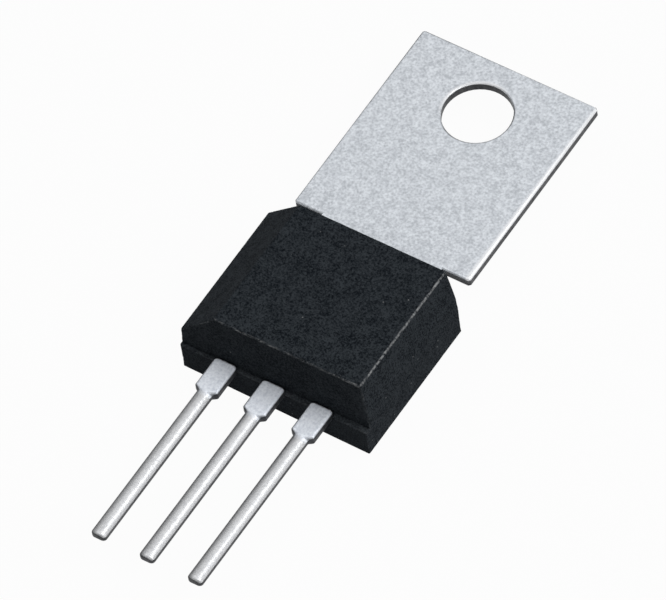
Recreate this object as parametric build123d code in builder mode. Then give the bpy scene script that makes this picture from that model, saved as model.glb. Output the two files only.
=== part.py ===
from build123d import *
import os
from math import radians, tan

# Power transistor in a flat moulded package, in millimetres.
# The origin is the middle of the body's flat back. +Z points to the marked face,
# +Y to the heat tab and -Y along the leads.

# Moulded body
body_width = 9.98
body_length = 7.62
upper_height = 2.66
lower_height = 1.84
land_height = 0.6
upper_corner_radius = 0.14
lower_corner_radius = 0.1
body_edge_radius = 0.14
back_edge_chamfer = 0.04
back_edge_angle = 45
bevel_size = 1.7
land_draft_angle = 1.2
upper_side_draft_angle = 7.2
upper_front_draft_angle = 6.6
upper_rear_draft_angle = 3.2
lower_draft_angle = 0.6
flash_overhang = 0.04
flash_height = 0.07
ejector_diameter = 1.5
ejector_depth = 0.06
ejector_spacing = 5.2

# Stamped metal
metal_thickness = 0.5
tab_edge_radius = 0.13
tab_back_edge_chamfer = 0.05
lead_edge_radius = 0.18
lead_back_edge_radius = 0.1

# Heat tab
tab_setback = 0.34
tab_length = 10.92
tab_corner_chamfer = 0.1
neck_width = 6.4
neck_length = 1.44
hole_diameter = 3.3
hole_rim_chamfer = 0.05
hole_to_tab_end = 2.84
pad_width = 7.2
pad_front_width = 4.6
pad_front_taper = 1.1
lock_notch_diameter = 1.1
lock_notch_to_rear = 1.5

# Leads
lead_pitch = 2.54
lead_width = 0.76
lead_length = 10.56
lead_tip_chamfer = 0.16
shoulder_width = 1.2
shoulder_length = 1.62
post_width = 2.1
post_length = 1.5
post_to_front = 0.75
post_to_pad = 0.55

# Chip and its connections
chip_size = 2.3
chip_thickness = 0.28
chip_to_pad_front = 1.1
solder_thickness = 0.06
solder_margin = 0.12
wire_diameter = 0.26
wire_rise = 0.75
wire_spacing_share = 0.5
bond_foot_length = 0.6
bond_foot_width = 0.4
bond_foot_height = 0.12

# Cuts run past the surface they open by this much
overrun = 1.0

# Heights and stations that the pieces share
metal_top = lower_height
metal_bottom = metal_top - metal_thickness
body_top = lower_height + upper_height
front = -body_length / 2
rear = body_length / 2
tab_width = body_width - tab_setback * 2
tab_front = rear + neck_length
tab_end = tab_front + tab_length
hole_y = tab_end - hole_to_tab_end
lead_tip = front - lead_length
post_front = front + post_to_front
post_rear = post_front + post_length
pad_front = post_rear + post_to_pad
post_inner = lead_pitch - shoulder_width / 2
post_outer = post_inner + post_width
solder_size = chip_size + solder_margin * 2
chip_y = pad_front + chip_to_pad_front + solder_size / 2
chip_bottom = metal_top + solder_thickness
chip_top = chip_bottom + chip_thickness
wire_top = chip_top + wire_rise

os.makedirs("parts", exist_ok=True)


def corners_at(outline, station):
    """Corners of an outline that lie at one station along Y."""
    rows = outline.vertices().group_by(Axis.Y)
    return min(rows, key=lambda row: abs(row[0].Y - station))


def lead_outline(inner_end):
    """Outline of one lead about its own centre line: leg, taper, shoulder."""
    leg = lead_width / 2
    shoulder = shoulder_width / 2
    shoulder_end = front - shoulder_length
    leg_start = shoulder_end - (shoulder - leg)
    with BuildSketch() as outline:
        with BuildLine():
            Polyline(
                (-leg, lead_tip),
                (-leg, leg_start),
                (-shoulder, shoulder_end),
                (-shoulder, inner_end),
                (shoulder, inner_end),
                (shoulder, shoulder_end),
                (leg, leg_start),
                (leg, lead_tip),
                close=True,
            )
        make_face()
        chamfer(corners_at(outline, lead_tip), length=lead_tip_chamfer)
    return outline.sketch


def lead_rim(stamped, level):
    """Edges of a stamping's top (-1) or bottom (0) face that reach out of the body's front."""
    rim = stamped.faces().sort_by(Axis.Z)[level].edges()
    return rim.filter_by(lambda edge: edge.bounding_box().min.Y < front)


def tab_rim(stamped, level):
    """Edges of a stamping's top (-1) or bottom (0) face that reach out of the body's rear."""
    rim = stamped.faces().sort_by(Axis.Z)[level].edges()
    return rim.filter_by(lambda edge: edge.bounding_box().max.Y > rear)


# Heat tab, pad and middle lead are one stamping
with BuildPart() as heat_tab:
    with BuildSketch(Plane.XY.offset(metal_bottom)) as stamping:
        with Locations((0, tab_front + tab_length / 2)):
            Rectangle(tab_width, tab_length)
        chamfer(stamping.vertices(), length=tab_corner_chamfer)
        with BuildLine():
            Polyline(
                (-pad_front_width / 2, pad_front),
                (pad_front_width / 2, pad_front),
                (pad_width / 2, pad_front + pad_front_taper),
                (pad_width / 2, rear - lock_notch_to_rear),
                (neck_width / 2, rear - lock_notch_to_rear),
                (neck_width / 2, tab_front),
                (-neck_width / 2, tab_front),
                (-neck_width / 2, rear - lock_notch_to_rear),
                (-pad_width / 2, rear - lock_notch_to_rear),
                (-pad_width / 2, pad_front + pad_front_taper),
                close=True,
            )
        make_face()
        add(lead_outline(pad_front + pad_front_taper))
        with Locations((0, hole_y)):
            Circle(hole_diameter / 2, mode=Mode.SUBTRACT)
        with Locations(
            (-neck_width / 2, rear - lock_notch_to_rear),
            (neck_width / 2, rear - lock_notch_to_rear),
        ):
            Circle(lock_notch_diameter / 2, mode=Mode.SUBTRACT)
    extrude(amount=metal_thickness)
    fillet(lead_rim(heat_tab, -1), radius=lead_edge_radius)
    fillet(lead_rim(heat_tab, 0), radius=lead_back_edge_radius)
    fillet(tab_rim(heat_tab, -1).filter_by(GeomType.LINE), radius=tab_edge_radius)
    chamfer(tab_rim(heat_tab, -1).filter_by(GeomType.CIRCLE), length=hole_rim_chamfer)
    chamfer(tab_rim(heat_tab, 0), length=tab_back_edge_chamfer)
heat_tab.part.label = "heat_tab"

# Base lead, with the post that its wire is bonded to
with BuildPart() as base_lead:
    with BuildSketch(Plane.XY.offset(metal_bottom)):
        with Locations((-lead_pitch, 0)):
            add(lead_outline(post_rear))
        with Locations((-(post_inner + post_outer) / 2, (post_front + post_rear) / 2)):
            Rectangle(post_width, post_length)
    extrude(amount=metal_thickness)
    fillet(lead_rim(base_lead, -1), radius=lead_edge_radius)
    fillet(lead_rim(base_lead, 0), radius=lead_back_edge_radius)
base_lead.part.label = "base_lead"

# Emitter lead is the base lead's mirror image
with BuildPart() as emitter_lead:
    mirror(base_lead.part, about=Plane.YZ)
emitter_lead.part.label = "emitter_lead"

# Solder layer under the chip
with BuildPart() as die_solder:
    with BuildSketch(Plane.XY.offset(metal_top)):
        with Locations((0, chip_y)):
            Rectangle(solder_size, solder_size)
    extrude(amount=solder_thickness)
die_solder.part.label = "die_solder"

# Silicon chip
with BuildPart() as chip:
    with BuildSketch(Plane.XY.offset(chip_bottom)):
        with Locations((0, chip_y)):
            Rectangle(chip_size, chip_size)
    extrude(amount=chip_thickness)
chip.part.label = "chip"

# Base wire: rises from the chip, runs across and comes down on the post,
# with a flattened foot at each end
chip_contact = (-chip_size * wire_spacing_share / 2, chip_y)
post_contact = (-(post_inner + post_outer) / 2, (post_front + post_rear) / 2)

with BuildPart() as base_wire:
    with BuildLine() as run:
        Polyline(
            (*chip_contact, chip_top),
            (*chip_contact, wire_top),
            (*post_contact, wire_top),
            (*post_contact, metal_top),
        )
    with BuildSketch(Plane(origin=run.line @ 0, z_dir=run.line % 0)):
        Circle(wire_diameter / 2)
    sweep(transition=Transition.RIGHT)
    for level, contact in ((chip_top, chip_contact), (metal_top, post_contact)):
        with BuildSketch(Plane.XY.offset(level)):
            with Locations(contact):
                Rectangle(bond_foot_width, bond_foot_length)
        extrude(amount=bond_foot_height)
base_wire.part.label = "base_wire"

# Emitter wire is the base wire's mirror image
with BuildPart() as emitter_wire:
    mirror(base_wire.part, about=Plane.YZ)
emitter_wire.part.label = "emitter_wire"

# Moulded body: a lower half below the parting plane, and above it a land that is
# nearly upright and a part that leans in to the marked face
upper_part_height = upper_height - land_height
land_top = lower_height + land_height
land_inset = land_height * tan(radians(land_draft_angle))
upper_side_inset = upper_part_height * tan(radians(upper_side_draft_angle))
upper_front_inset = upper_part_height * tan(radians(upper_front_draft_angle))
upper_rear_inset = upper_part_height * tan(radians(upper_rear_draft_angle))
lower_inset = lower_height * tan(radians(lower_draft_angle))
land_width = body_width - land_inset * 2
land_length = body_length - land_inset * 2
top_width = land_width - upper_side_inset * 2
top_length = land_length - upper_front_inset - upper_rear_inset
top_middle = (upper_front_inset - upper_rear_inset) / 2
back_width = body_width - lower_inset * 2
back_length = body_length - lower_inset * 2

with BuildPart() as moulded_body:
    sections = (
        (0, back_width, back_length, 0),
        (lower_height, body_width, body_length, 0),
        (land_top, land_width, land_length, 0),
        (body_top, top_width, top_length, top_middle),
    )
    corner_radii = (lower_corner_radius, upper_corner_radius, upper_corner_radius)
    for below, above, corner_radius in zip(sections, sections[1:], corner_radii):
        for height, width, length, middle in (below, above):
            with BuildSketch(Plane.XY.offset(height)):
                with Locations((0, middle)):
                    RectangleRounded(width, length, corner_radius)
        loft()
    # Flat cuts break the edges of the back
    with BuildSketch(Plane.XY):
        Rectangle(back_width - back_edge_chamfer * 2, back_length - back_edge_chamfer * 2)
    extrude(amount=body_top, taper=-back_edge_angle, mode=Mode.INTERSECT)
    # Bevel along the whole left edge of the marked face
    with BuildSketch(Plane.XZ.offset(-rear - overrun)):
        with BuildLine():
            Polyline(
                (-top_width / 2 - overrun, body_top - bevel_size - overrun),
                (-top_width / 2 + bevel_size + overrun, body_top + overrun),
                (-top_width / 2 - overrun, body_top + overrun),
                close=True,
            )
        make_face()
    extrude(amount=body_length + overrun * 2, mode=Mode.SUBTRACT)
    marked_face = moulded_body.faces().sort_by(Axis.Z)[-1]
    bevel_face = moulded_body.faces().sort_by(
        lambda face: face.normal_at().Z - face.normal_at().X
    )[-1]
    fillet(marked_face.edges() + bevel_face.edges(), radius=body_edge_radius)
    # Thin ridge that the mould halves leave at the parting plane
    with BuildSketch(Plane.XY.offset(lower_height - flash_height / 2)):
        RectangleRounded(
            body_width + flash_overhang * 2,
            body_length + flash_overhang * 2,
            upper_corner_radius + flash_overhang,
        )
    extrude(amount=flash_height)
    # Shallow marks of the ejector pins in the back
    with BuildSketch(Plane.XY):
        with Locations((-ejector_spacing / 2, 0), (ejector_spacing / 2, 0)):
            Circle(ejector_diameter / 2)
    extrude(amount=ejector_depth, mode=Mode.SUBTRACT)
    # The moulding closes round everything that it holds
    for held in (heat_tab, base_lead, emitter_lead, die_solder, chip, base_wire, emitter_wire):
        add(held.part, mode=Mode.SUBTRACT)
moulded_body.part.label = "moulded_body"

export_step(moulded_body.part, "parts/moulded_body.step")
export_step(heat_tab.part, "parts/heat_tab.step")
export_step(base_lead.part, "parts/base_lead.step")
export_step(emitter_lead.part, "parts/emitter_lead.step")
export_step(die_solder.part, "parts/die_solder.step")
export_step(chip.part, "parts/chip.step")
export_step(base_wire.part, "parts/base_wire.step")
export_step(emitter_wire.part, "parts/emitter_wire.step")
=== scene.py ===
"""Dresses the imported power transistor: a black moulding on a tinned lead frame."""
import math
from contextlib import contextmanager

import bmesh
import bpy
import numpy as np
from bpy.props import FloatProperty, FloatVectorProperty, IntProperty, PointerProperty
from mathutils import Matrix, Vector, noise


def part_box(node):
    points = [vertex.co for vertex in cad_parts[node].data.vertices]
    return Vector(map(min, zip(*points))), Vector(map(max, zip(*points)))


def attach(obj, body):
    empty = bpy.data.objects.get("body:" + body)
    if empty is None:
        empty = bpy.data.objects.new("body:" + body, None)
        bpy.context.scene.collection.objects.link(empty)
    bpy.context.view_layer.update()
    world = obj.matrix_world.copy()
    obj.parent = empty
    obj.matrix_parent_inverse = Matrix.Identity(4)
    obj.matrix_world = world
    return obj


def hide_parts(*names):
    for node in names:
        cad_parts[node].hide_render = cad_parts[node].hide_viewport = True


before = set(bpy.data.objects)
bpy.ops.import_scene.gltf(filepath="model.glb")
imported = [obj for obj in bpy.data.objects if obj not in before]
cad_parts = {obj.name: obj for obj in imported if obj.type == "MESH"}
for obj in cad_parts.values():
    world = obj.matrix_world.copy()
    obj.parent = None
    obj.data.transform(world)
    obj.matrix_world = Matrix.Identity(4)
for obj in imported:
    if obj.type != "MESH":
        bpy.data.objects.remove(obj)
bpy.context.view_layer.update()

bl_info = {
    "name": "Power transistor",
    "version": (1, 0, 0),
    "blender": (4, 5, 0),
    "location": "View3D > Sidebar > Transistor",
    "description": "Dresses a flat power transistor over its packed frame",
    "category": "Object",
}

MM = 0.001
BODY = "root"
MERGE_DISTANCE = 1e-7
TINY = 1e-9
# The moulding's point layer: slight edge wear and, mostly, a painted highlight along some edges
WEAR_AND_HIGHLIGHT_NAME = "edge_wear"
LEAD_TREE = "Stamped lead"
tab_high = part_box("heat_tab")[1]
base_low, base_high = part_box("base_lead")

# Grains to a millimetre
DUST_GRAIN = 25.0
FILLER_GRAIN = 11.0
CLOUD_GRAIN = 1.6
SPECK_CELLS = 2.2
# Grain of the gaps in the edge wear and painted highlight
WEAR_AND_HIGHLIGHT_GRAIN = 9.0
TIN_GRAIN = 8.5
TIN_CLOUD_GRAIN = 2.2
FLOOR_GRAIN = 0.05
STREAK_STRETCH = (7.0, 0.55, 7.0)
# Stretch of the noise in the painted shade on the sheared walls
SHADE_NOISE_STRETCH = (5.0, 5.0, 1.5)
GRAIN_RANGE = (0.3, 0.7)

# Finish of the moulding
DUST_SHARE = 0.45
CLOUD_SHARE = 0.15
EPOXY_CONTRAST = (0.42, 0.58)
EPOXY_ROUGHNESS = (0.74, 0.88)
EPOXY_SPECULAR = 0.04
EPOXY_BUMP = 6e-6
# The sides facing left and right get a coarser grain and are painted a little lighter, as if more
# lit
FLANK_FACING = (0.4, 0.65)
FLANK_LIGHTER_MIDDLE = 0.475
FLANK_GAIN = 0.9
SPECK_RIM = (0.055, 0.10)
SPECK_CHOICE = (0.86, 0.93)
SPECK_STRENGTH = 0.5
# Gaps in the edge wear and painted highlight
WEAR_AND_HIGHLIGHT_GAPS = (0.32, 0.54)

# Finish of the tin, with places in millimetres
TIN_CLOUD_SHARE = 0.3
TIN_CONTRAST = (0.36, 0.64)
TIN_SPECULAR = 0.15
TIN_BUMP = 5e-6
TIN_DULLER, TIN_SHINIER = 0.08, 0.06
TIN_METALLIC, LEG_METALLIC = 0.25, 0.52
LEG_START = (-5.8, -5.5)
LEG_POLISH = 0.03
LEG_TINT = 0.4
# Painted highlight along the tab's right edge, a little wider towards the body
TAB_HIGHLIGHT = (4.31, 4.42)
TAB_HIGHLIGHT_LEAN = -0.011
TAB_HIGHLIGHT_SHARE = 0.85
# Painted highlight on the hole's rim at the rear left, and painted shade on the opposite side
HOLE_HIGHLIGHT, HOLE_HIGHLIGHT_SHARE, HOLE_HIGHLIGHT_SIDE = (0.06, 0.17), 0.8, (-1.7, -0.5)
HOLE_SHADE, HOLE_SHADE_SHARE, HOLE_SHADE_SIDE = (0.03, 0.10), 0.75, (-0.6, 0.8)
# Painted shade on the sheared walls and rolled edges, shifted by the way they face
LEAD_WALL_SHIFT, TAB_WALL_SHIFT = (-0.33, 0.15), (-0.45, 0.45)
WALL_FACING = (0.45, 0.75)
WALL_SHADE_SPREAD = (0.92, 1.0)

# Finish of the inner parts: dark and light colour, grains, roughness and metallic share
INNER_NODES = {
    "silicon": ("chip",), "solder": ("die_solder",), "bond_wire": ("base_wire", "emitter_wire")
}
INNER_FINISHES = {
    "silicon": ((0.05, 0.05, 0.06), (0.16, 0.16, 0.18), 5.0, 0.2, 0.3),
    "solder": ((0.28, 0.28, 0.29), (0.45, 0.45, 0.46), 6.0, 0.5, 1.0),
    "bond_wire": ((0.62, 0.63, 0.64), (0.8, 0.81, 0.82), 9.0, 0.32, 1.0),
}
INNER_CONTRAST = (0.35, 0.65)
INNER_ROUGHNESS_SPREAD = 0.08
INNER_BUMP = 2e-6

# Points along and around a lead
ROUND_STATIONS, LEG_STATIONS, TAPER_STATIONS, STOP_STATIONS = 9, 50, 13, 14
FILLET_POINTS, SECTION_POINTS = 8, 64
TIP_NARROWING, TIP_FLATTENING = 0.55, 0.45
LEAD_SHARP_ANGLE, BODY_SHARP_ANGLE = 38.0, 40.0

# Lattice of the moulding: two fine zones, fine and coarse step, as shares of its width and length
WIDTH_STEPS = (0.032, 0.032, 0.0027, 0.0115)
LENGTH_STEPS = (0.040, 0.040, 0.0034, 0.0145)
FINE_STEP, MIDDLE_STEP, COARSE_STEP = 0.024 * MM, 0.03 * MM, 0.11 * MM
BACK_ZONE, SEAM_ZONE, LAND_ZONE = 0.25 * MM, 0.05 * MM, 0.06 * MM
UPPER_ZONE, TOP_ZONE = 0.4 * MM, 0.3 * MM
RIDGE_REACH, RIDGE_LEVELS = 0.04 * MM, 9
EJECTOR_SEGMENTS = 72

# Edges of the moulding
BACK_EDGE, WIDEST_EDGE, TOP_EDGE = 0.3 * MM, 0.1 * MM, 0.4 * MM
BEVEL_FOOT, BEVEL_BLEND = -2.9 * MM, 0.2 * MM
UNEVEN_RADIUS, UNEVEN_LUMP = 0.18, 0.5 * MM
SMALL_LUMP, LARGE_LUMP, RAGGED_LUMP = 0.09 * MM, 0.35 * MM, 0.6 * MM
RAGGED_MEAN, RAGGED_SPREAD, RAGGED_GAIN = 0.6, 0.4, 1.6
NICK_EDGE, CREST_EDGE = 0.06, 0.12
NICK_START, NICK_BLEND, NICK_LARGE = 0.25, 0.5, 0.5
LEDGE_SKEW = (0.62, 1.05)
LEDGE_ROOT_SHARE, LEDGE_BLEND_SHARE = 0.38, 0.07
LEDGE_FALL = {-0.03 * MM: 1.0, -0.02 * MM: 0.97, -0.01 * MM: 0.9, 0.0: 0.0}
BRIM_FALL = {-0.06 * MM: 0.0, -0.03 * MM: 1.0, -0.01 * MM: 1.0, 0.0: 0.35}
# Slight wear on every edge, and a painted highlight along the brim of the ledge; near the right
# corner the front edge's painted highlight is more even
CREST_WEAR, BRIM_HIGHLIGHT = 0.03, 0.13
CORNER_START, CORNER_BLEND, CORNER_HIGHLIGHT = 3.2 * MM, 0.8 * MM, 0.4
EDGE_CLOSE, EDGE_BLEND = 0.80, 0.12
PATCH_SMALL, PATCH_LARGE = 1.1, 0.7
# Direction of each edge with a painted highlight, its strongest highlight and how evenly it is
# spread
EDGE_HIGHLIGHT_RIGHT = ((1, 0, 1), 1.0, 0.75)
EDGE_HIGHLIGHT_FRONT = ((0, -1, 1), 0.75, 0.12)
EDGE_HIGHLIGHT_CORNER = ((1, -1, 0), 0.14, 0.3)

# Stage, in metres: place and size of each lamp, and the camera
AIM = (0.0, 0.001, 0.002)
LAMPS = {
    "key": ((0.45, 0.03, 0.40), 0.36),
    "fill": ((-0.16, -0.03, 0.90), 1.2),
    "rim": ((0.30, 0.285, 0.46), 0.22),
}
CAMERA_PLACE = (0.270202, -0.324680, 0.574120)
CAMERA_RIGHT = (0.84064, 0.53354, -0.09309)
CAMERA_UP = (-0.38621, 0.71102, 0.58762)
CAMERA_CLIP = (0.05, 20.0)
SENSOR_WIDTH = 36.0
FLOOR_DIM = 0.99


def number(name, description, value, **kind):
    """A number with a name and a description."""
    return FloatProperty(name=name, description=description, default=value, **kind)


def length(name, description, millimetres):
    """A size in metres, given in millimetres."""
    return number(
        name, description, millimetres * MM, precision=5, unit="LENGTH", subtype="DISTANCE"
    )


def angle(name, description, degrees):
    """An angle, given in degrees."""
    return number(name, description, math.radians(degrees), unit="ROTATION", subtype="ANGLE")


def share(name, description, value):
    """A number from 0 to 1."""
    return number(name, description, value, min=0.0, max=1.0, subtype="FACTOR")


def power(name, description, watts):
    """The power of a lamp."""
    return number(name, description, watts, unit="POWER")


def colour(name, description, red, green, blue):
    """A linear colour."""
    tone = (red, green, blue)
    return FloatVectorProperty(
        name=name, description=description, default=tone, min=0.0, max=1.0, subtype="COLOR"
    )


class MouldingSettings(bpy.types.PropertyGroup):
    """Sizes and finish of the black moulding."""

    width: length("Width", "Width at the widest level", 9.98)
    length: length("Length", "Length at the widest level", 7.62)
    height: length("Height", "Height from the back to the marked face", 4.5)
    lower_height: length("Lower height", "Height of the widest level", 1.84)
    land_height: length("Land height", "Height of the nearly upright land", 0.6)
    land_draft: angle("Land draft", "Lean of the land", 1.2)
    side_draft: angle("Side draft", "Lean of the upper sides", 7.2)
    front_draft: angle("Front draft", "Lean of the upper front", 1.6)
    front_setback: length("Front setback", "How far the upper front lies back", 0.19)
    ledge: length("Ledge", "How far the lower half stands out in front", 0.29)
    ledge_bed: length("Ledge bed", "How deep the leads lie in the ledge", 0.24)
    rear_draft: angle("Rear draft", "Lean of the upper rear", 3.2)
    lower_draft: angle("Lower draft", "Lean of the lower half", 0.6)
    bevel: length("Bevel", "Bevel along the left edge of the marked face", 1.7)
    top_radius: length("Top edge radius", "Rounding of the upper edges", 0.12)
    corner_radius: length("Corner radius", "Rounding of the upper corners", 0.13)
    lower_corner_radius: length("Lower corner radius", "Rounding of the lower corners", 0.09)
    back_radius: length("Back edge radius", "Rounding of the back edges", 0.03)
    flash: length("Flash", "How far the parting ridge stands out", 0.035)
    flash_height: length("Flash height", "Height of the parting ridge", 0.1)
    chip_depth: length("Edge nick depth", "Depth of the nicks along the edges", 0.022)
    ejector_diameter: length("Ejector mark", "Diameter of the ejector marks", 1.5)
    ejector_depth: length("Ejector depth", "Depth of the ejector marks", 0.06)
    ejector_spacing: length("Ejector spacing", "Distance of the two marks", 5.2)
    epoxy: colour("Epoxy", "Main colour of the moulding", 0.004, 0.006, 0.0085)
    epoxy_light: colour("Epoxy light", "Paler grains", 0.034, 0.040, 0.046)
    # Pale colour of the specks and the slight edge wear, and of the painted highlight along the
    # edges
    pale_and_highlight: colour("Worn edge", "Colour of rubbed edges", 0.26, 0.265, 0.27)


class LeadSettings(bpy.types.PropertyGroup):
    """Sizes of the three leads."""

    pitch: length("Pitch", "Distance between the leads", 2.54)
    width: length("Leg width", "Width of a leg", 0.76)
    shoulder_width: length("Shoulder width", "Width of the stop", 1.2)
    shoulder_length: length("Shoulder length", "Reach of the stop", 1.72)
    edge_radius: length("Edge radius", "Rounding of the upper edges", 0.16)
    back_radius: length("Back edge radius", "Rounding of the lower edges", 0.1)
    crown: length("Crown", "How far a leg's top falls off to its sides", 0.19)
    tip_round: length("Tip rounding", "Rounding of the tips", 0.2)
    entry_round: length("Entry rounding", "Rounding where a lead enters the body", 0.24)
    join_depth: length("Join depth", "How deep in the body a leg joins its root", 0.5)


class TinSettings(bpy.types.PropertyGroup):
    """Finish of the tinned lead frame."""

    tin: colour("Tin", "Colour of the matt plating", 0.84, 0.88, 0.93)
    tin_dark: colour("Tin shade", "Darker grains of the plating", 0.52, 0.55, 0.59)
    dipped: colour("Dipped tin", "Colour of the brighter tin on the leads", 0.89, 0.93, 0.99)
    dipped_dark: colour("Dipped tin shade", "Darker streaks on the leads", 0.66, 0.70, 0.77)
    drawn: colour("Drawn tin", "Greyer tint of the legs", 0.51, 0.47, 0.41)
    # Colour of the painted highlight on the tab's right edge and the hole's rim
    rim_highlight: colour("Burnished", "Colour of the rims that the punch has rubbed", 0.97, 0.98, 1.0)
    # Colour of the painted shade on the sheared walls, the rolled edges and the hole's rim
    edge_shade: colour("Cut edge", "Colour of the sheared edges", 0.025, 0.026, 0.030)
    hole_diameter: length("Hole", "Diameter of the tab's hole", 3.3)
    hole_to_end: length("Hole to end", "Distance of the hole's centre from the tab's end", 2.84)
    roughness: share("Roughness", "Mean roughness of the plating", 0.42)


class StageSettings(bpy.types.PropertyGroup):
    """Floor, lamps and camera."""

    floor_size: length("Floor", "Side of the floor", 4000.0)
    floor_gap: length("Floor gap", "Height of the part's back above the floor", 0.01)
    floor_colour: colour("Floor colour", "Colour of the floor", 0.5, 0.5, 0.5)
    floor_white: share("Floor white", "Share of plain white in what is seen of the floor", 0.96)
    world_light: share("World light", "Strength of the light from all round", 0.15)
    key_power: power("Key lamp", "Power of the key lamp", 1.6)
    fill_power: power("Fill lamp", "Power of the overhead lamp", 4.7)
    rim_power: power("Rim lamp", "Power of the lamp behind the part", 0.68)
    lens: number("Lens", "Focal length in mm", 863.7)


class TransistorSettings(bpy.types.PropertyGroup):
    """All settings of the transistor."""

    moulding: PointerProperty(type=MouldingSettings)
    leads: PointerProperty(type=LeadSettings)
    tin: PointerProperty(type=TinSettings)
    stage: PointerProperty(type=StageSettings)
    seed: IntProperty(name="Seed", description="Seed of the small wear", default=7)


def rgba(value):
    """A colour with full alpha."""
    return (value[0], value[1], value[2], 1.0)


class Nodes:
    """Small helper that wires a tree of nodes."""

    def link(self, source, target):
        """Joins two sockets."""
        self.tree.links.new(source, target)

    def feed(self, inputs, values):
        """Sets or links inputs by their names or numbers."""
        for name, value in values.items():
            if isinstance(value, bpy.types.NodeSocket):
                self.link(value, inputs[name])
            else:
                inputs[name].default_value = value

    def add(self, kind, inputs=None, **settings):
        """A new node with its properties set and its inputs set or linked."""
        made = self.tree.nodes.new(kind)
        for name, value in settings.items():
            setattr(made, name, value)
        self.feed(made.inputs, inputs or {})
        return made

    def value(self, kind, inputs=None, **settings):
        """The first output of a new node."""
        return self.add(kind, inputs, **settings).outputs[0]

    def math(self, operation, *values):
        """A calculation with numbers or sockets."""
        return self.value("ShaderNodeMath", dict(enumerate(values)), operation=operation)

    def times(self, first, second):
        """A product of two values."""
        return self.math("MULTIPLY", first, second)

    def ramp(self, value, low, high, first=0.0, last=1.0, kind="LINEAR"):
        """Maps a range of values on another, without passing its ends."""
        ends = {"From Min": low, "From Max": high, "To Min": first, "To Max": last}
        return self.value("ShaderNodeMapRange", {"Value": value, **ends}, interpolation_type=kind)

    def split(self, vector):
        """The X, Y and Z of a vector."""
        return self.add("ShaderNodeSeparateXYZ", {"Vector": vector}).outputs


class Shader(Nodes):
    """Wires the nodes of one material."""

    def __init__(self, name):
        self.material = bpy.data.materials.new(name)
        self.material.use_nodes = True
        self.tree = self.material.node_tree
        self.surface = self.tree.nodes["Principled BSDF"]
        self.source = self.add("ShaderNodeTexCoord")
        self.place = self.scaled(self.source.outputs["Object"], (1 / MM,) * 3)

    def scaled(self, vector, factors):
        """A vector with each axis scaled."""
        return self.value("ShaderNodeMapping", {"Vector": vector, "Scale": factors})

    def facing(self):
        """The X, Y and Z of the direction that the surface faces."""
        return self.split(self.source.outputs["Normal"])

    def grain(self, scale, detail=2.0, place=None):
        """Noise with so many grains to a millimetre."""
        inputs = {"Vector": place or self.place, "Scale": scale, "Detail": detail}
        return self.value("ShaderNodeTexNoise", inputs)

    def blend(self, first, second, share_of_second):
        """A weighted mean of two values."""
        return self.math(
            "ADD", self.times(first, 1.0 - share_of_second), self.times(second, share_of_second)
        )

    def mix(self, share_of_second, first, second):
        """A blend of two colours, each a colour or a socket."""
        # A mix node has its colour inputs at 6 and 7 and its colour output at 2
        inputs = {0: share_of_second, 6: first, 7: second}
        return self.add("ShaderNodeMix", inputs, data_type="RGBA").outputs[2]

    def bump(self, height, distance):
        """Roughens the surface by a height in metres."""
        inputs = {"Height": height, "Strength": 1.0, "Distance": distance}
        self.set(Normal=self.value("ShaderNodeBump", inputs))

    def set(self, **inputs):
        """Sets or links the surface's own inputs."""
        spaced = {name.replace("_", " "): value for name, value in inputs.items()}
        self.feed(self.surface.inputs, spaced)


def black_epoxy(settings):
    """Matt moulding compound: fine filler grain, stray pale specks, slight wear and a painted
    highlight on the edges, and sides painted a little lighter.
    """
    shader = Shader("moulding_compound")
    fine = shader.blend(shader.grain(FILLER_GRAIN, 5.0), shader.grain(DUST_GRAIN), DUST_SHARE)
    shade = shader.blend(fine, shader.grain(CLOUD_GRAIN), CLOUD_SHARE)
    # The sides and the bevel are moulded rougher than the marked face, and painted a little
    # lighter as if more lit
    flank = shader.ramp(shader.math("ABSOLUTE", shader.facing()["X"]), *FLANK_FACING)
    rougher_and_lighter = shader.times(shader.math("SUBTRACT", shade, FLANK_LIGHTER_MIDDLE), FLANK_GAIN)
    shade = shader.math("ADD", shade, shader.times(flank, rougher_and_lighter))
    pale = shader.ramp(shade, *EPOXY_CONTRAST)
    base = shader.mix(pale, rgba(settings.epoxy), rgba(settings.epoxy_light))
    cells = shader.add("ShaderNodeTexVoronoi", {"Vector": shader.place, "Scale": SPECK_CELLS})
    near = shader.ramp(cells.outputs["Distance"], *SPECK_RIM, 1.0, 0.0)
    red = shader.value("ShaderNodeSeparateColor", {"Color": cells.outputs["Color"]})
    few = shader.ramp(red, *SPECK_CHOICE)
    speck = shader.times(shader.times(near, few), SPECK_STRENGTH)
    base = shader.mix(speck, base, rgba(settings.pale_and_highlight))
    # Slight edge wear and, mostly, a painted highlight along the right and front edges, broken by
    # gaps
    wear_and_highlight = shader.add("ShaderNodeAttribute", attribute_name=WEAR_AND_HIGHLIGHT_NAME)
    gaps = shader.ramp(shader.grain(WEAR_AND_HIGHLIGHT_GRAIN), *WEAR_AND_HIGHLIGHT_GAPS)
    base = shader.mix(shader.times(wear_and_highlight.outputs["Fac"], gaps), base, rgba(settings.pale_and_highlight))
    rough = shader.ramp(fine, *GRAIN_RANGE, *EPOXY_ROUGHNESS)
    shader.set(Base_Color=base, Roughness=rough, Specular_IOR_Level=EPOXY_SPECULAR)
    shader.bump(fine, EPOXY_BUMP)
    return shader.material


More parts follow.
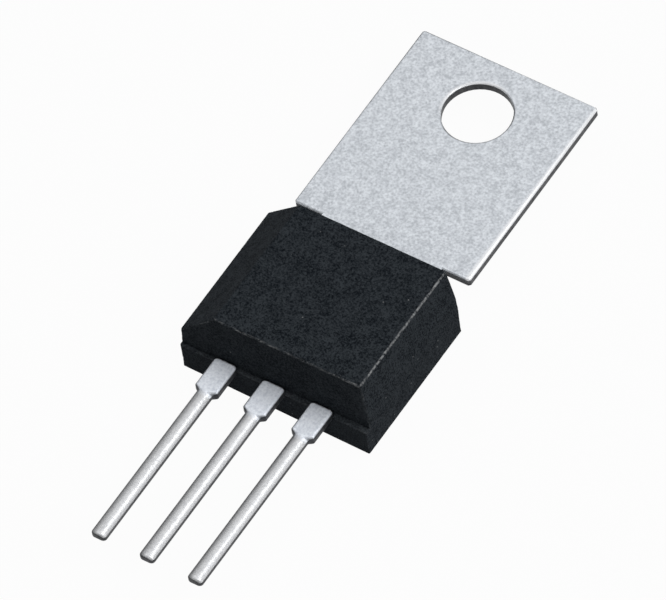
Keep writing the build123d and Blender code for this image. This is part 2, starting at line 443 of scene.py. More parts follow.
def tab_rim_light_and_shade(shader, settings, place, base):
    """Adds a painted highlight along the tab's right edge, and a painted highlight and painted
    shade on opposite sides of the hole's rim.
    """
    # The painted highlight strip is a little wider towards the body
    lean = shader.times(place["Y"], TAB_HIGHLIGHT_LEAN)
    rim = shader.ramp(shader.math("ADD", place["X"], lean), *TAB_HIGHLIGHT)
    base = shader.mix(shader.times(rim, TAB_HIGHLIGHT_SHARE), base, rgba(settings.rim_highlight))
    middle = (tab_high.y - settings.hole_to_end) / MM
    rise = shader.math("SUBTRACT", place["Y"], middle)
    squares = shader.math("ADD", shader.times(place["X"], place["X"]), shader.times(rise, rise))
    radius = settings.hole_diameter / MM / 2
    away = shader.math("SUBTRACT", shader.math("SQRT", squares), radius)
    side = shader.math("SUBTRACT", place["X"], rise)
    # The hole's rim gets a painted highlight at the rear left and painted shade on the opposite
    # side
    painted_highlight = shader.times(
        shader.ramp(away, *HOLE_HIGHLIGHT, HOLE_HIGHLIGHT_SHARE, 0.0),
        shader.ramp(side, *HOLE_HIGHLIGHT_SIDE, 1.0, 0.0),
    )
    base = shader.mix(painted_highlight, base, rgba(settings.rim_highlight))
    shaded_rim = shader.times(
        shader.ramp(away, *HOLE_SHADE, HOLE_SHADE_SHARE, 0.0), shader.ramp(side, *HOLE_SHADE_SIDE)
    )
    return shader.mix(shaded_rim, base, rgba(settings.edge_shade))


def tin_plate(settings, streaks):
    """Matt tin on stamped sheet, its sheared walls and rolled edges darkened as painted shade. The
    legs are drawn and shinier.
    """
    if streaks:
        shader = Shader("streaked_tin")
        broad = shader.grain(1.0, 3.0, shader.scaled(shader.place, STREAK_STRETCH))
        pale, dark, wall_shift = settings.dipped, settings.dipped_dark, LEAD_WALL_SHIFT
    else:
        shader = Shader("matt_tin")
        broad = shader.grain(TIN_CLOUD_GRAIN)
        pale, dark, wall_shift = settings.tin, settings.tin_dark, TAB_WALL_SHIFT
    shade = shader.blend(shader.grain(TIN_GRAIN, 3.0), broad, TIN_CLOUD_SHARE)
    base = shader.mix(shader.ramp(shade, *TIN_CONTRAST), rgba(dark), rgba(pale))
    place = shader.split(shader.place)
    rough = shader.ramp(
        shade, *GRAIN_RANGE, settings.roughness + TIN_DULLER, settings.roughness - TIN_SHINIER
    )
    metallic = TIN_METALLIC
    if streaks:
        on_leg = shader.ramp(place["Y"], *LEG_START, 1.0, 0.0)
        metallic = shader.ramp(on_leg, 0.0, 1.0, TIN_METALLIC, LEG_METALLIC)
        rough = shader.math("SUBTRACT", rough, shader.times(on_leg, LEG_POLISH))
        base = shader.mix(shader.times(on_leg, LEG_TINT), base, rgba(settings.drawn))
    else:
        base = tab_rim_light_and_shade(shader, settings, place, base)
    # Painted shade: the sheared walls and rolled edges are darkened, less so where they face the
    # lamp
    facing = shader.facing()
    slant = shader.math("SUBTRACT", facing["X"], facing["Y"])
    shift = shader.ramp(slant, -1.0, 1.0, *wall_shift)
    facing_up = shader.math("ADD", shader.math("ABSOLUTE", facing["Z"]), shift)
    wall_shade = shader.ramp(facing_up, *WALL_FACING, 1.0, 0.0)
    shade_noise = shader.grain(1.0, 3.0, shader.scaled(shader.place, SHADE_NOISE_STRETCH))
    shade_spread = shader.ramp(shade_noise, *GRAIN_RANGE, *WALL_SHADE_SPREAD)
    base = shader.mix(shader.times(wall_shade, shade_spread), base, rgba(settings.edge_shade))
    shader.set(
        Base_Color=base, Roughness=rough, Metallic=metallic, Specular_IOR_Level=TIN_SPECULAR
    )
    shader.bump(shade, TIN_BUMP)
    return shader.material


def plain_grain(name, dark, light, scale, roughness, metallic):
    """Finish of a piece inside the body: two shades of one colour with a fine grain."""
    shader = Shader(name)
    grain = shader.grain(scale, 3.0)
    spread = INNER_ROUGHNESS_SPREAD
    shader.set(
        Base_Color=shader.mix(shader.ramp(grain, *INNER_CONTRAST), rgba(dark), rgba(light)),
        Roughness=shader.ramp(grain, *GRAIN_RANGE, roughness - spread, roughness + spread),
        Metallic=metallic,
    )
    shader.bump(grain, INNER_BUMP)
    return shader.material


def link_object(name, mesh):
    """A new object at the origin that shows a mesh."""
    made = bpy.data.objects.new(name, mesh)
    bpy.context.scene.collection.objects.link(made)
    return made


def drop_object(thing):
    """Removes a helper object and its mesh."""
    mesh = thing.data
    bpy.data.objects.remove(thing)
    bpy.data.meshes.remove(mesh)


@contextmanager
def editing(mesh):
    """A mesh as an open shell, written back at the end with its faces turned outward."""
    shell = bmesh.new()
    shell.from_mesh(mesh)
    yield shell
    bmesh.ops.recalc_face_normals(shell, faces=shell.faces)
    shell.to_mesh(mesh)
    shell.free()


def merged_copy(node, name):
    """A copy of a CAD node's mesh as one closed shell."""
    mesh = bpy.data.meshes.new(name)
    shell = bmesh.new()
    shell.from_mesh(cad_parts[node].data)
    bmesh.ops.remove_doubles(shell, verts=shell.verts, dist=MERGE_DISTANCE)
    shell.to_mesh(mesh)
    shell.free()
    for layer in ("custom_normal", "sharp_edge", "sharp_face"):
        if layer in mesh.attributes:
            mesh.attributes.remove(mesh.attributes[layer])
    return mesh


def baked(thing, name):
    """The mesh of an object with its modifiers, as a plain mesh on the same object."""
    graph = bpy.context.evaluated_depsgraph_get()
    mesh = bpy.data.meshes.new_from_object(thing.evaluated_get(graph))
    mesh.name = name
    old = thing.data
    thing.modifiers.clear()
    thing.data = mesh
    bpy.data.meshes.remove(old)
    return mesh


def boolean(thing, other, operation):
    """Cuts another object out of a thing, or joins it on."""
    cut = thing.modifiers.new(operation.title(), "BOOLEAN")
    cut.operation = operation
    cut.solver = "MANIFOLD"
    cut.object = other
    mesh = baked(thing, thing.name)
    if not mesh.polygons:
        raise RuntimeError(f"{thing.name}: the {operation.lower()} left nothing")


def soften(thing, sharp_angle, weighted):
    """Smooth shading that keeps the flat faces flat."""
    mesh = thing.data
    mesh.polygons.foreach_set("use_smooth", [True] * len(mesh.polygons))
    mesh.set_sharp_from_angle(angle=math.radians(sharp_angle))
    if weighted:
        normals = thing.modifiers.new("Weighted normals", "WEIGHTED_NORMAL")
        normals.keep_sharp = True
        normals.weight = 100
        baked(thing, thing.name)


def finish_piece(thing, material, node):
    """Gives a piece its material and its place on the part."""
    thing.data.materials.clear()
    thing.data.materials.append(material)
    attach(thing, BODY)
    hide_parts(node)


class NodeTree(Nodes):
    """Wires a Geometry Nodes tree."""

    def __init__(self, name):
        self.tree = bpy.data.node_groups.new(name, "GeometryNodeTree")
        self.tree.is_modifier = True
        for way in ("INPUT", "OUTPUT"):
            self.tree.interface.new_socket(
                "Geometry", in_out=way, socket_type="NodeSocketGeometry"
            )
        self.source = self.add("NodeGroupInput")
        self.result = self.add("NodeGroupOutput")

    def input(self, name, kind="NodeSocketFloat"):
        """A new named input; returns its socket."""
        self.tree.interface.new_socket(name, in_out="INPUT", socket_type=kind)
        return self.source.outputs[name]

    def position(self):
        """The X, Y and Z of each point."""
        return self.split(self.value("GeometryNodeInputPosition"))

    def rounding(self, value):
        """The fall of a quarter circle: 0 at its start and 1 at its end."""
        rest = self.math("SUBTRACT", 1.0, self.times(value, value))
        return self.math("SUBTRACT", 1.0, self.math("SQRT", rest))


def lead_tree():
    """A stamped lead: a crowned strip along a spine, wide at the stop and rounded at both ends."""
    build = NodeTree(LEAD_TREE)
    thickness = build.input("Thickness")
    leg = build.input("Leg width")
    shoulder = build.input("Shoulder width")
    shoulder_end = build.input("Shoulder end")
    leg_start = build.input("Leg start")
    tip = build.input("Tip")
    tip_round = build.input("Tip rounding")
    front = build.input("Body front")
    entry_round = build.input("Entry rounding")
    upper = build.input("Edge radius")
    lower = build.input("Back edge radius")
    crown = build.input("Crown")
    centre = build.input("Centre")
    level = build.input("Level")
    material = build.input("Material", "NodeSocketMaterial")

    spine = build.value("GeometryNodeMeshToCurve", {"Mesh": build.source.outputs["Geometry"]})
    upright = build.value("GeometryNodeSetCurveNormal", {"Curve": spine}, mode="Z_UP")
    section = build.value(
        "GeometryNodeCurvePrimitiveQuadrilateral", {"Width": leg, "Height": thickness}
    )
    # The section's lower side becomes the strip's upper side
    above = build.value(
        "FunctionNodeCompare",
        {"A": build.position()["Y"]},
        data_type="FLOAT",
        operation="LESS_THAN",
    )
    radius = build.value(
        "GeometryNodeSwitch",
        {"Switch": above, "False": lower, "True": upper},
        input_type="FLOAT",
    )
    rounded = build.value(
        "GeometryNodeFilletCurve",
        {"Curve": section, "Radius": radius, "Count": FILLET_POINTS},
        mode="POLY",
    )
    even = build.value("GeometryNodeResampleCurve", {"Curve": rounded, "Count": SECTION_POINTS})
    strip = build.value(
        "GeometryNodeCurveToMesh", {"Curve": upright, "Profile Curve": even, "Fill Caps": True}
    )

    place = build.position()
    station = place["Y"]
    aside = build.math("SUBTRACT", place["X"], centre)
    height = build.math("SUBTRACT", place["Z"], level)
    tip_share = build.ramp(build.math("SUBTRACT", station, tip), 0.0, tip_round, 1.0, 0.0)
    tip_fall = build.rounding(tip_share)
    entry_share = build.ramp(build.math("SUBTRACT", front, station), 0.0, entry_round, 1.0, 0.0)
    entry_fall = build.times(build.rounding(entry_share), entry_round)
    widen = build.times(build.math("SUBTRACT", shoulder, leg), 0.5)
    taper = build.ramp(station, leg_start, shoulder_end, 0.0, widen, "SMOOTHSTEP")
    stop = build.math("SUBTRACT", taper, entry_fall)
    narrow = build.math("SUBTRACT", 1.0, build.times(tip_fall, TIP_NARROWING))
    across = build.math(
        "ADD", build.times(aside, narrow), build.times(build.math("SIGN", aside), stop)
    )
    out = build.math("DIVIDE", aside, build.times(leg, 0.5))
    on_leg = build.ramp(station, leg_start, shoulder_end, 1.0, 0.0)
    upward = build.math("DIVIDE", height, build.times(thickness, 0.5))
    upward = build.math("MAXIMUM", upward, 0.0)
    crowned = build.times(build.times(out, out), build.times(on_leg, upward))
    fall = build.math("ADD", build.times(crowned, crown), build.times(entry_fall, upward))
    flatten = build.math("SUBTRACT", 1.0, build.times(tip_fall, TIP_FLATTENING))
    rise = build.times(build.math("SUBTRACT", height, fall), flatten)
    target = {
        "X": build.math("ADD", across, centre),
        "Y": station,
        "Z": build.math("ADD", rise, level),
    }
    shaped = build.value(
        "GeometryNodeSetPosition",
        {"Geometry": strip, "Position": build.value("ShaderNodeCombineXYZ", target)},
    )
    real = build.value("GeometryNodeRealizeInstances", {"Geometry": shaped})
    painted = build.value("GeometryNodeSetMaterial", {"Geometry": real, "Material": material})
    build.link(painted, build.result.inputs["Geometry"])
    return build.tree


def set_inputs(modifier, values):
    """Sets a node modifier's inputs by the identifiers of its sockets."""
    sockets = {
        item.name: item.identifier
        for item in modifier.node_group.interface.items_tree
        if item.item_type == "SOCKET" and item.in_out == "INPUT"
    }
    for name, value in values.items():
        modifier[sockets[name]] = value


def quarter(start, end):
    """Stations from start to end, closest together at the start."""
    turns = np.linspace(0.0, math.pi / 2, ROUND_STATIONS)
    return [start + (end - start) * (1.0 - math.cos(turn)) for turn in turns]


def stamped_leg(settings, name, centre, material):
    """One leg with its shoulder, from the tip to its join inside the body."""
    leads, moulding = settings.leads, settings.moulding
    front = moulding.front_setback - moulding.length / 2
    tip = base_low.y
    inner = front + leads.join_depth
    shoulder_end = front - leads.shoulder_length
    leg_start = shoulder_end - (leads.shoulder_width - leads.width) / 2
    level = (base_low.z + base_high.z) / 2
    entry = front - leads.entry_round
    stations = quarter(tip, tip + leads.tip_round)
    stations += list(np.linspace(stations[-1], leg_start, LEG_STATIONS)[1:])
    stations += list(np.linspace(leg_start, shoulder_end, TAPER_STATIONS)[1:])
    stations += list(np.linspace(shoulder_end, entry, STOP_STATIONS)[1:])
    stations += quarter(front, entry)[-2::-1] + [inner]
    spine = bpy.data.meshes.new(name)
    points = [(centre, y, level) for y in stations]
    spine.from_pydata(points, [(i, i + 1) for i in range(len(points) - 1)], [])
    leg = link_object(name, spine)
    modifier = leg.modifiers.new(LEAD_TREE, "NODES")
    modifier.node_group = bpy.data.node_groups.get(LEAD_TREE) or lead_tree()
    set_inputs(
        modifier,
        {
            "Thickness": base_high.z - base_low.z,
            "Leg width": leads.width,
            "Shoulder width": leads.shoulder_width,
            "Shoulder end": shoulder_end,
            "Leg start": leg_start,
            "Tip": tip,
            "Tip rounding": leads.tip_round,
            "Body front": front,
            "Entry rounding": leads.entry_round,
            "Edge radius": leads.edge_radius,
            "Back edge radius": leads.back_radius,
            "Crown": leads.crown,
            "Centre": centre,
            "Level": level,
            "Material": material,
        },
    )
    mesh = baked(leg, name)
    with editing(mesh) as shell:
        bmesh.ops.remove_doubles(shell, verts=shell.verts, dist=MERGE_DISTANCE)
    return leg


def lead_piece(settings, node, name, centre, material):
    """A CAD node's root inside the body, joined to a new leg."""
    root_mesh = merged_copy(node, name)
    front = -settings.moulding.length / 2
    with editing(root_mesh) as shell:
        cut = bmesh.ops.bisect_plane(
            shell,
            geom=shell.verts[:] + shell.edges[:] + shell.faces[:],
            plane_co=(0.0, front + settings.leads.join_depth / 2, 0.0),
            plane_no=(0.0, -1.0, 0.0),
            clear_outer=True,
        )
        rim = [item for item in cut["geom_cut"] if isinstance(item, bmesh.types.BMEdge)]
        bmesh.ops.contextual_create(shell, geom=rim)
    piece = link_object(name, root_mesh)
    leg = stamped_leg(settings, name + "_leg", centre, material)
    boolean(piece, leg, "UNION")
    drop_object(leg)
    soften(piece, LEAD_SHARP_ANGLE, True)
    return piece


def named_material(name, maker, *values):
    """A material that is made once."""
    return bpy.data.materials.get(name) or maker(*values)


class TRANSISTOR_OT_leads(bpy.types.Operator):
    """Builds the base and emitter leads"""

    bl_idname = "transistor.leads"
    bl_label = "Outer leads"

    def execute(self, context):
        settings = context.scene.transistor
        tin = named_material("streaked_tin", tin_plate, settings.tin, True)
        for node, side in (("base_lead", -1), ("emitter_lead", 1)):
            centre = side * settings.leads.pitch
            piece = lead_piece(settings, node, node + "_strip", centre, tin)
            finish_piece(piece, tin, node)
        return {"FINISHED"}


class TRANSISTOR_OT_heat_tab(bpy.types.Operator):
    """Builds the heat tab with its pad and the middle lead"""

    bl_idname = "transistor.heat_tab"
    bl_label = "Heat tab"

    def execute(self, context):
        settings = context.scene.transistor
        tin = named_material("matt_tin", tin_plate, settings.tin, False)
        drawn = named_material("streaked_tin", tin_plate, settings.tin, True)
        piece = lead_piece(settings, "heat_tab", "heat_tab_stamping", 0.0, drawn)
        finish_piece(piece, tin, "heat_tab")
        piece.data.materials.append(drawn)
        for face in piece.data.polygons:
            face.material_index = int(face.center.y < 0.0)
        return {"FINISHED"}


class TRANSISTOR_OT_inner_parts(bpy.types.Operator):
    """Gives the chip, its solder and the bond wires their finish"""

    bl_idname = "transistor.inner_parts"
    bl_label = "Inner parts"

    def execute(self, context):
        for slot, finish in INNER_FINISHES.items():
            name = slot + "_finish"
            material = named_material(name, plain_grain, name, *finish)
            for node in INNER_NODES[slot]:
                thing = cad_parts[node]
                thing.data.materials.clear()
                thing.data.materials.append(material)
        return {"FINISHED"}


def moulding_planes(moulding):
    """The moulding's faces, each as an outward normal and a distance from the origin."""
    half = np.array([moulding.width / 2, moulding.length / 2])
    land_top = moulding.lower_height + moulding.land_height
    land_half = half - moulding.land_height * math.tan(moulding.land_draft)
    planes = [((0.0, 0.0, 1.0), moulding.height), ((0.0, 0.0, -1.0), 0.0)]
    for axis, side, upper_draft, setback in (
        (0, -1.0, moulding.side_draft, 0.0),
        (0, 1.0, moulding.side_draft, 0.0),
        (1, -1.0, moulding.front_draft, moulding.front_setback),
        (1, 1.0, moulding.rear_draft, 0.0),
    ):
        for lean, out, level in (
            (-moulding.lower_draft, half[axis] - setback, moulding.lower_height),
            (moulding.land_draft, half[axis] - setback, moulding.lower_height),
            (upper_draft, land_half[axis] - setback, land_top),
        ):
            normal = [0.0, 0.0, math.sin(lean)]
            normal[axis] = side * math.cos(lean)
            distance = out * math.cos(lean) + level * math.sin(lean)
            planes.append((tuple(normal), distance))
    top_half = land_half[0] - (moulding.height - land_top) * math.tan(moulding.side_draft)
    slope = math.sqrt(0.5)
    edge = top_half - moulding.bevel
    planes.append(((-slope, 0.0, slope), (edge + moulding.height) * slope))
    return np.array([p[0] for p in planes]), np.array([p[1] for p in planes])


def reach(normals, distances, origin, direction):
    """How far points may go in a direction before they leave the moulding."""
    along = direction @ normals.T
    room = distances - origin @ normals.T
    with np.errstate(divide="ignore", invalid="ignore"):
        ways = np.where(along > TINY, room / along, np.inf)
    return ways.min(axis=1)


def steps(low, high, fine_low, fine_high, fine, coarse):
    """Stations from low to high, closer together near the two ends."""
    first = np.arange(low, low + fine_low, fine)
    last = np.arange(high, high - fine_high, -fine)[::-1]
    count = max(int((last[0] - first[-1]) / coarse), 1)
    return np.concatenate([first, np.linspace(first[-1], last[0], count + 1)[1:-1], last])


def grid_faces(rows, columns, start, flip):
    """Quads of a grid of points that are stored row by row."""
    row, column = np.meshgrid(np.arange(rows - 1), np.arange(columns - 1), indexing="ij")
    first = (start + row * columns + column).ravel()
    quads = np.stack([first, first + 1, first + columns + 1, first + columns], axis=1)
    return quads[:, ::-1] if flip else quads


def inward_projection(points, normals, distances, rounds=60):
    """The nearest points of a block that is cut by planes, with one distance set to a point."""
    nearest = points.copy()
    carry = np.zeros((len(distances[0]), len(points), 3))
    for _ in range(rounds):
        for index, normal in enumerate(normals):
            trial = nearest + carry[index]
            over = np.maximum(trial @ normal - distances[:, index], 0.0)
            nearest = trial - over[:, None] * normal
            carry[index] = trial - nearest
    return nearest


def lumps(points, size, offset):
    """Smooth seeded noise from -1 to 1, with lumps of a size."""
    shift = Vector((offset, -offset, 2 * offset))
    return np.array([noise.noise(Vector(p) / size + shift) for p in points])


def faded(value, start, width):
    """0 below a start and 1 from a width above it, with a straight rise between."""
    return np.clip((value - start) / width, 0.0, 1.0)


def moulding_lattice(moulding, normals, distances, seam):
    """Points on the moulding's sharp block, face by face, and the quads between them."""
    land_top = moulding.lower_height + moulding.land_height
    share_x = steps(0.0, 1.0, *WIDTH_STEPS)
    share_y = steps(0.0, 1.0, *LENGTH_STEPS)
    low = steps(0.0, seam - SEAM_ZONE, BACK_ZONE, SEAM_ZONE, MIDDLE_STEP, COARSE_STEP)
    ridge = np.linspace(seam - RIDGE_REACH, seam + RIDGE_REACH, RIDGE_LEVELS)
    land = steps(seam + SEAM_ZONE, land_top, SEAM_ZONE, LAND_ZONE, MIDDLE_STEP, COARSE_STEP)
    high = steps(
        land_top + FINE_STEP, moulding.height, UPPER_ZONE, TOP_ZONE, FINE_STEP, COARSE_STEP
    )
    levels = np.concatenate([low, ridge, land, high])

    def place(u, v, level):
        """Points at shares of the width and length that the block has at some levels."""
        inside = np.zeros((len(level), 3))
        inside[:, 2] = np.clip(level, TINY, moulding.height - TINY)
        left, right, front, rear = (
            reach(normals, distances, inside, np.tile(np.array(way), (len(level), 1)))
            for way in ((-1.0, 0, 0), (1.0, 0, 0), (0, -1.0, 0), (0, 1.0, 0))
        )
        return np.stack([-left + (left + right) * u, -front + (front + rear) * v, level], axis=1)

    def grid(first, second):
        """Two rows of values as a grid, each flattened."""
        return [part.ravel() for part in np.meshgrid(first, second, indexing="ij")]

    points, faces, start = [], [], 0

    def add(face, rows, columns, turned):
        """Keeps one face's points and quads."""
        nonlocal start
        points.append(face)
        faces.append(grid_faces(len(rows), len(columns), start, turned))
        start += len(face)

    for height, turned in ((0.0, True), (moulding.height, False)):
        v, u = grid(share_y, share_x)
        add(place(u, v, np.full(len(u), height)), share_y, share_x, turned)
    for fixed, turned in ((0.0, False), (1.0, True)):
        level, u = grid(levels, share_x)
        add(place(u, np.full(len(u), fixed), level), levels, share_x, turned)
    for fixed, turned in ((0.0, True), (1.0, False)):
        level, v = grid(levels, share_y)
        add(place(np.full(len(v), fixed), v, level), levels, share_y, turned)
    return np.concatenate(points), np.concatenate(faces)


def edge_radii(moulding, points, seed):
    """The rounding of the nearest edge at each point, a little uneven."""
    level = points[:, 2]
    widest = moulding.lower_height
    land_top = widest + moulding.land_height
    stages = (
        (0.0, moulding.back_radius),
        (BACK_EDGE, moulding.lower_corner_radius),
        (widest, moulding.lower_corner_radius),
        (widest + WIDEST_EDGE, moulding.corner_radius),
        (moulding.height - TOP_EDGE, moulding.corner_radius),
        (moulding.height, moulding.top_radius),
    )
    radius = np.interp(level, *zip(*stages))
    by_bevel = faded(level, land_top, BEVEL_BLEND) * (points[:, 0] < BEVEL_FOOT)
    radius = radius + (moulding.top_radius - radius) * by_bevel
    return radius * (1.0 + UNEVEN_RADIUS * lumps(points, UNEVEN_LUMP, seed))


def moulding_shell(moulding, seed):
    """The outer shell of the moulding, and how much each point is lightened by slight wear and
    painted highlight.
    """
    normals, distances = moulding_planes(moulding)
    seam = base_low.z + moulding.ledge_bed
    points, faces = moulding_lattice(moulding, normals, distances, seam)
    level = points[:, 2]
    radius = edge_radii(moulding, points, seed)
    nearest = inward_projection(points, normals, distances - radius[:, None])
    away = points - nearest
    reach_out = np.linalg.norm(away, axis=1)
    facing = away / reach_out[:, None]
    rounded = nearest + facing * radius[:, None]

    sharpness = reach_out / radius - 1.0
    small = lumps(points, SMALL_LUMP, seed + 3)
    large = lumps(points, LARGE_LUMP, seed + 5)
    nick = faded(small + NICK_LARGE * large, NICK_START, NICK_BLEND)
    nick = nick * faded(sharpness, 0.0, NICK_EDGE)
    rounded -= facing * (nick * moulding.chip_depth)[:, None]

    # The lower half stands out in front, beside the leads, and a little more on the right
    stand_out = np.interp(level - seam, *zip(*LEDGE_FALL.items()))
    forward = faded(
        -rounded[:, 1], moulding.length * LEDGE_ROOT_SHARE, moulding.length * LEDGE_BLEND_SHARE
    )
    skew = np.interp(rounded[:, 0], [-moulding.width / 2, moulding.width / 2], LEDGE_SKEW)
    rounded[:, 1] -= moulding.ledge * skew * stand_out * forward

    # The halves meet in a ragged ridge along the two sides
    swell = np.clip(1.0 - np.abs(level - seam) / (moulding.flash_height / 2), 0.0, 1.0)
    waves = np.clip(lumps(points, RAGGED_LUMP, seed + 9) * RAGGED_GAIN, -1.0, 1.0)
    ragged = RAGGED_MEAN + RAGGED_SPREAD * waves
    on_side = np.abs(facing[:, 2]) < 0.5
    rounded[:, 0] += facing[:, 0] * moulding.flash * swell * ragged * on_side

    # The right edge of the marked face gets the strongest painted highlight, then the front one;
    # every edge gets slight wear and the ledge's brim a painted highlight
    crest = faded(sharpness, 0.0, CREST_EDGE)
    brim = np.interp(level - seam, *zip(*BRIM_FALL.items()), left=0.0, right=0.0)
    in_front = facing[:, 1] < -0.5
    wear_and_highlight = np.maximum(CREST_WEAR * crest, BRIM_HIGHLIGHT * brim * ragged * in_front)
    # The front edge's painted highlight is more even near the right corner
    at_corner = CORNER_HIGHLIGHT * faded(points[:, 0], CORNER_START, CORNER_BLEND)
    for (towards, most, even), more in (
        (EDGE_HIGHLIGHT_RIGHT, 0.0),
        (EDGE_HIGHLIGHT_FRONT, at_corner),
        (EDGE_HIGHLIGHT_CORNER, 0.0),
    ):
        close = facing @ (np.array(towards) / math.sqrt(2.0))
        near = faded(close, EDGE_CLOSE, EDGE_BLEND)
        patchy = np.clip(even + more + PATCH_SMALL * small + PATCH_LARGE * large, 0.0, 1.0)
        wear_and_highlight = np.maximum(wear_and_highlight, most * near * crest * patchy)
    return rounded, faces, wear_and_highlight


def ejector_pin(moulding, side):
    """A flat cylinder that cuts one ejector mark into the back."""
    mesh = bpy.data.meshes.new("ejector_mark")
    pin = bmesh.new()
    bmesh.ops.create_cone(
        pin,
        cap_ends=True,
        segments=EJECTOR_SEGMENTS,
        radius1=moulding.ejector_diameter / 2,
        radius2=moulding.ejector_diameter / 2,
        depth=moulding.ejector_depth * 2,
        matrix=Matrix.Translation((side * moulding.ejector_spacing / 2, 0.0, 0.0)),
    )
    pin.to_mesh(mesh)
    pin.free()
    return link_object("ejector_mark", mesh)


class TRANSISTOR_OT_moulded_body(bpy.types.Operator):
    """Builds the moulded body round everything that it holds"""

    bl_idname = "transistor.moulded_body"
    bl_label = "Moulded body"

    def execute(self, context):
        settings = context.scene.transistor
        moulding = settings.moulding
        points, faces, wear_and_highlight = moulding_shell(moulding, settings.seed)
        mesh = bpy.data.meshes.new("moulded_body_shell")
        mesh.from_pydata(points.tolist(), [], faces.tolist())
        # The point layer holds the slight edge wear and the painted highlight
        painted_highlight = mesh.attributes.new(WEAR_AND_HIGHLIGHT_NAME, "FLOAT", "POINT")
        painted_highlight.data.foreach_set("value", wear_and_highlight.astype(np.float32))
        with editing(mesh) as shell:
            bmesh.ops.remove_doubles(shell, verts=shell.verts, dist=MERGE_DISTANCE)
            open_edges = [edge for edge in shell.edges if len(edge.link_faces) != 2]
            if open_edges:
                raise RuntimeError(f"the moulding has {len(open_edges)} open edges")
        piece = link_object("moulded_body_shell", mesh)
        for side in (-1, 1):
            pin = ejector_pin(moulding, side)
            boolean(piece, pin, "DIFFERENCE")
            drop_object(pin)
        for name in ("heat_tab_stamping", "base_lead_strip", "emitter_lead_strip"):
            boolean(piece, bpy.data.objects[name], "DIFFERENCE")
        for node in ("die_solder", "chip", "base_wire", "emitter_wire"):
            held = link_object(node + "_room", merged_copy(node, node + "_room"))
            boolean(piece, held, "DIFFERENCE")
            drop_object(held)
        soften(piece, BODY_SHARP_ANGLE, False)
        epoxy = named_material("moulding_compound", black_epoxy, moulding)
        finish_piece(piece, epoxy, "moulded_body")
        return {"FINISHED"}


def seen_directly(shader):
    """1 for rays from the camera, mirrors and glass, and 0 for the light of matt surfaces."""
    path = shader.add("ShaderNodeLightPath").outputs
    mirrored = shader.math("MAXIMUM", path["Is Camera Ray"], path["Is Glossy Ray"])
    return shader.math("MAXIMUM", mirrored, path["Is Transmission Ray"])


def floor_material(stage):
    """Pale matt floor that shows as white paper with a light shadow."""
    shader = Shader("floor")
    tone = stage.floor_colour
    dim = rgba([FLOOR_DIM * part for part in tone])
    base = shader.mix(shader.grain(FLOOR_GRAIN), dim, rgba(tone))
    shader.set(Base_Color=base, Roughness=1.0, Specular_IOR_Level=0.0)
    lit = shader.times(seen_directly(shader), stage.floor_white)
    white = shader.value("ShaderNodeEmission")
    inputs = {0: lit, 1: shader.surface.outputs["BSDF"], 2: white}
    shown = shader.value("ShaderNodeMixShader", inputs)
    shader.link(shown, shader.tree.nodes["Material Output"].inputs["Surface"])
    return shader.material


def area_lamp(name, place, size, power):
    """A square soft lamp that looks at the part."""
    lamp = bpy.data.lights.new(name, "AREA")
    lamp.energy = power
    lamp.size = size
    made = bpy.data.objects.new(name, lamp)
    bpy.context.scene.collection.objects.link(made)
    made.location = place
    made.rotation_euler = (Vector(AIM) - Vector(place)).to_track_quat("-Z", "Y").to_euler()
    made.visible_camera = False


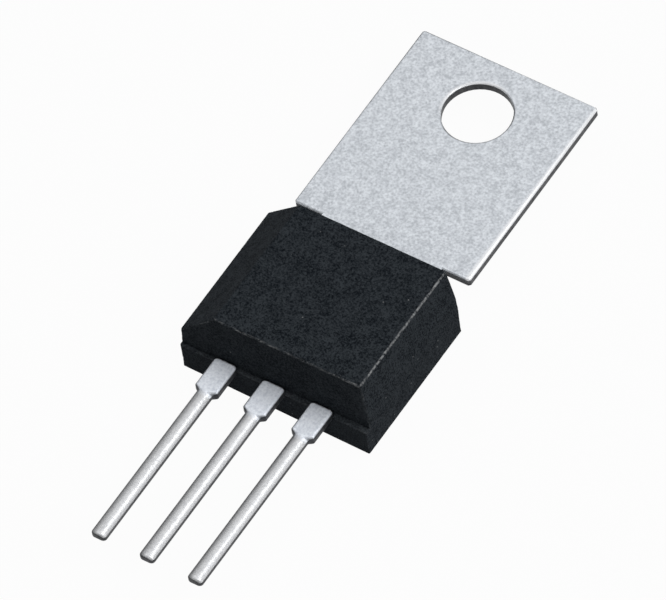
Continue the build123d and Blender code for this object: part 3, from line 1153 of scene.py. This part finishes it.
class TRANSISTOR_OT_stage(bpy.types.Operator):
    """Builds the floor, the lamps, the world and the camera"""

    bl_idname = "transistor.stage"
    bl_label = "Stage"

    def execute(self, context):
        stage = context.scene.transistor.stage
        half = stage.floor_size / 2
        corners = ((-half, -half), (half, -half), (half, half), (-half, half))
        mesh = bpy.data.meshes.new("floor")
        mesh.from_pydata([(x, y, -stage.floor_gap) for x, y in corners], [], [(0, 1, 2, 3)])
        floor = link_object("floor", mesh)
        mesh.materials.append(floor_material(stage))

        powers = {"key": stage.key_power, "fill": stage.fill_power, "rim": stage.rim_power}
        for name, (place, size) in LAMPS.items():
            area_lamp(name + "_lamp", place, size, powers[name])

        world = bpy.data.worlds.new("studio")
        world.use_nodes = True
        context.scene.world = world
        back = world.node_tree.nodes["Background"]
        back.inputs["Color"].default_value = (1.0, 1.0, 1.0, 1.0)
        back.inputs["Strength"].default_value = stage.world_light

        lens = bpy.data.cameras.new("camera")
        lens.lens = stage.lens
        lens.sensor_width = SENSOR_WIDTH
        lens.clip_start, lens.clip_end = CAMERA_CLIP
        camera = bpy.data.objects.new("camera", lens)
        context.scene.collection.objects.link(camera)
        right, up = Vector(CAMERA_RIGHT), Vector(CAMERA_UP)
        turn = Matrix((right, up, right.cross(up))).transposed().to_4x4()
        camera.matrix_world = Matrix.Translation(CAMERA_PLACE) @ turn
        context.scene.camera = camera
        context.scene.view_settings.view_transform = "Standard"
        return {"FINISHED"}


class TRANSISTOR_PT_panel(bpy.types.Panel):
    """Lists the pieces and their settings"""

    bl_idname = "TRANSISTOR_PT_panel"
    bl_label = "Transistor"
    bl_space_type = "VIEW_3D"
    bl_region_type = "UI"
    bl_category = "Transistor"

    def draw(self, context):
        settings = context.scene.transistor
        for step in STEPS:
            self.layout.operator(step.bl_idname)
        for group in (settings.moulding, settings.leads, settings.tin, settings.stage):
            box = self.layout.box()
            for name in group.bl_rna.properties.keys():
                if name not in ("rna_type", "name"):
                    box.prop(group, name)


STEPS = (
    TRANSISTOR_OT_leads,
    TRANSISTOR_OT_heat_tab,
    TRANSISTOR_OT_inner_parts,
    TRANSISTOR_OT_moulded_body,
    TRANSISTOR_OT_stage,
)
CLASSES = (
    MouldingSettings,
    LeadSettings,
    TinSettings,
    StageSettings,
    TransistorSettings,
    *STEPS,
    TRANSISTOR_PT_panel,
)


def register():
    """Registers the classes and the scene's settings."""
    for item in CLASSES:
        bpy.utils.register_class(item)
    bpy.types.Scene.transistor = PointerProperty(type=TransistorSettings)


def unregister():
    """Takes the classes and the settings away again."""
    del bpy.types.Scene.transistor
    for item in reversed(CLASSES):
        bpy.utils.unregister_class(item)


def main():
    """Builds the pieces and the stage."""
    register()
    bpy.ops.transistor.leads()
    bpy.ops.transistor.heat_tab()
    bpy.ops.transistor.inner_parts()
    bpy.ops.transistor.moulded_body()
    bpy.ops.transistor.stage()


if __name__ == "__main__":
    main()
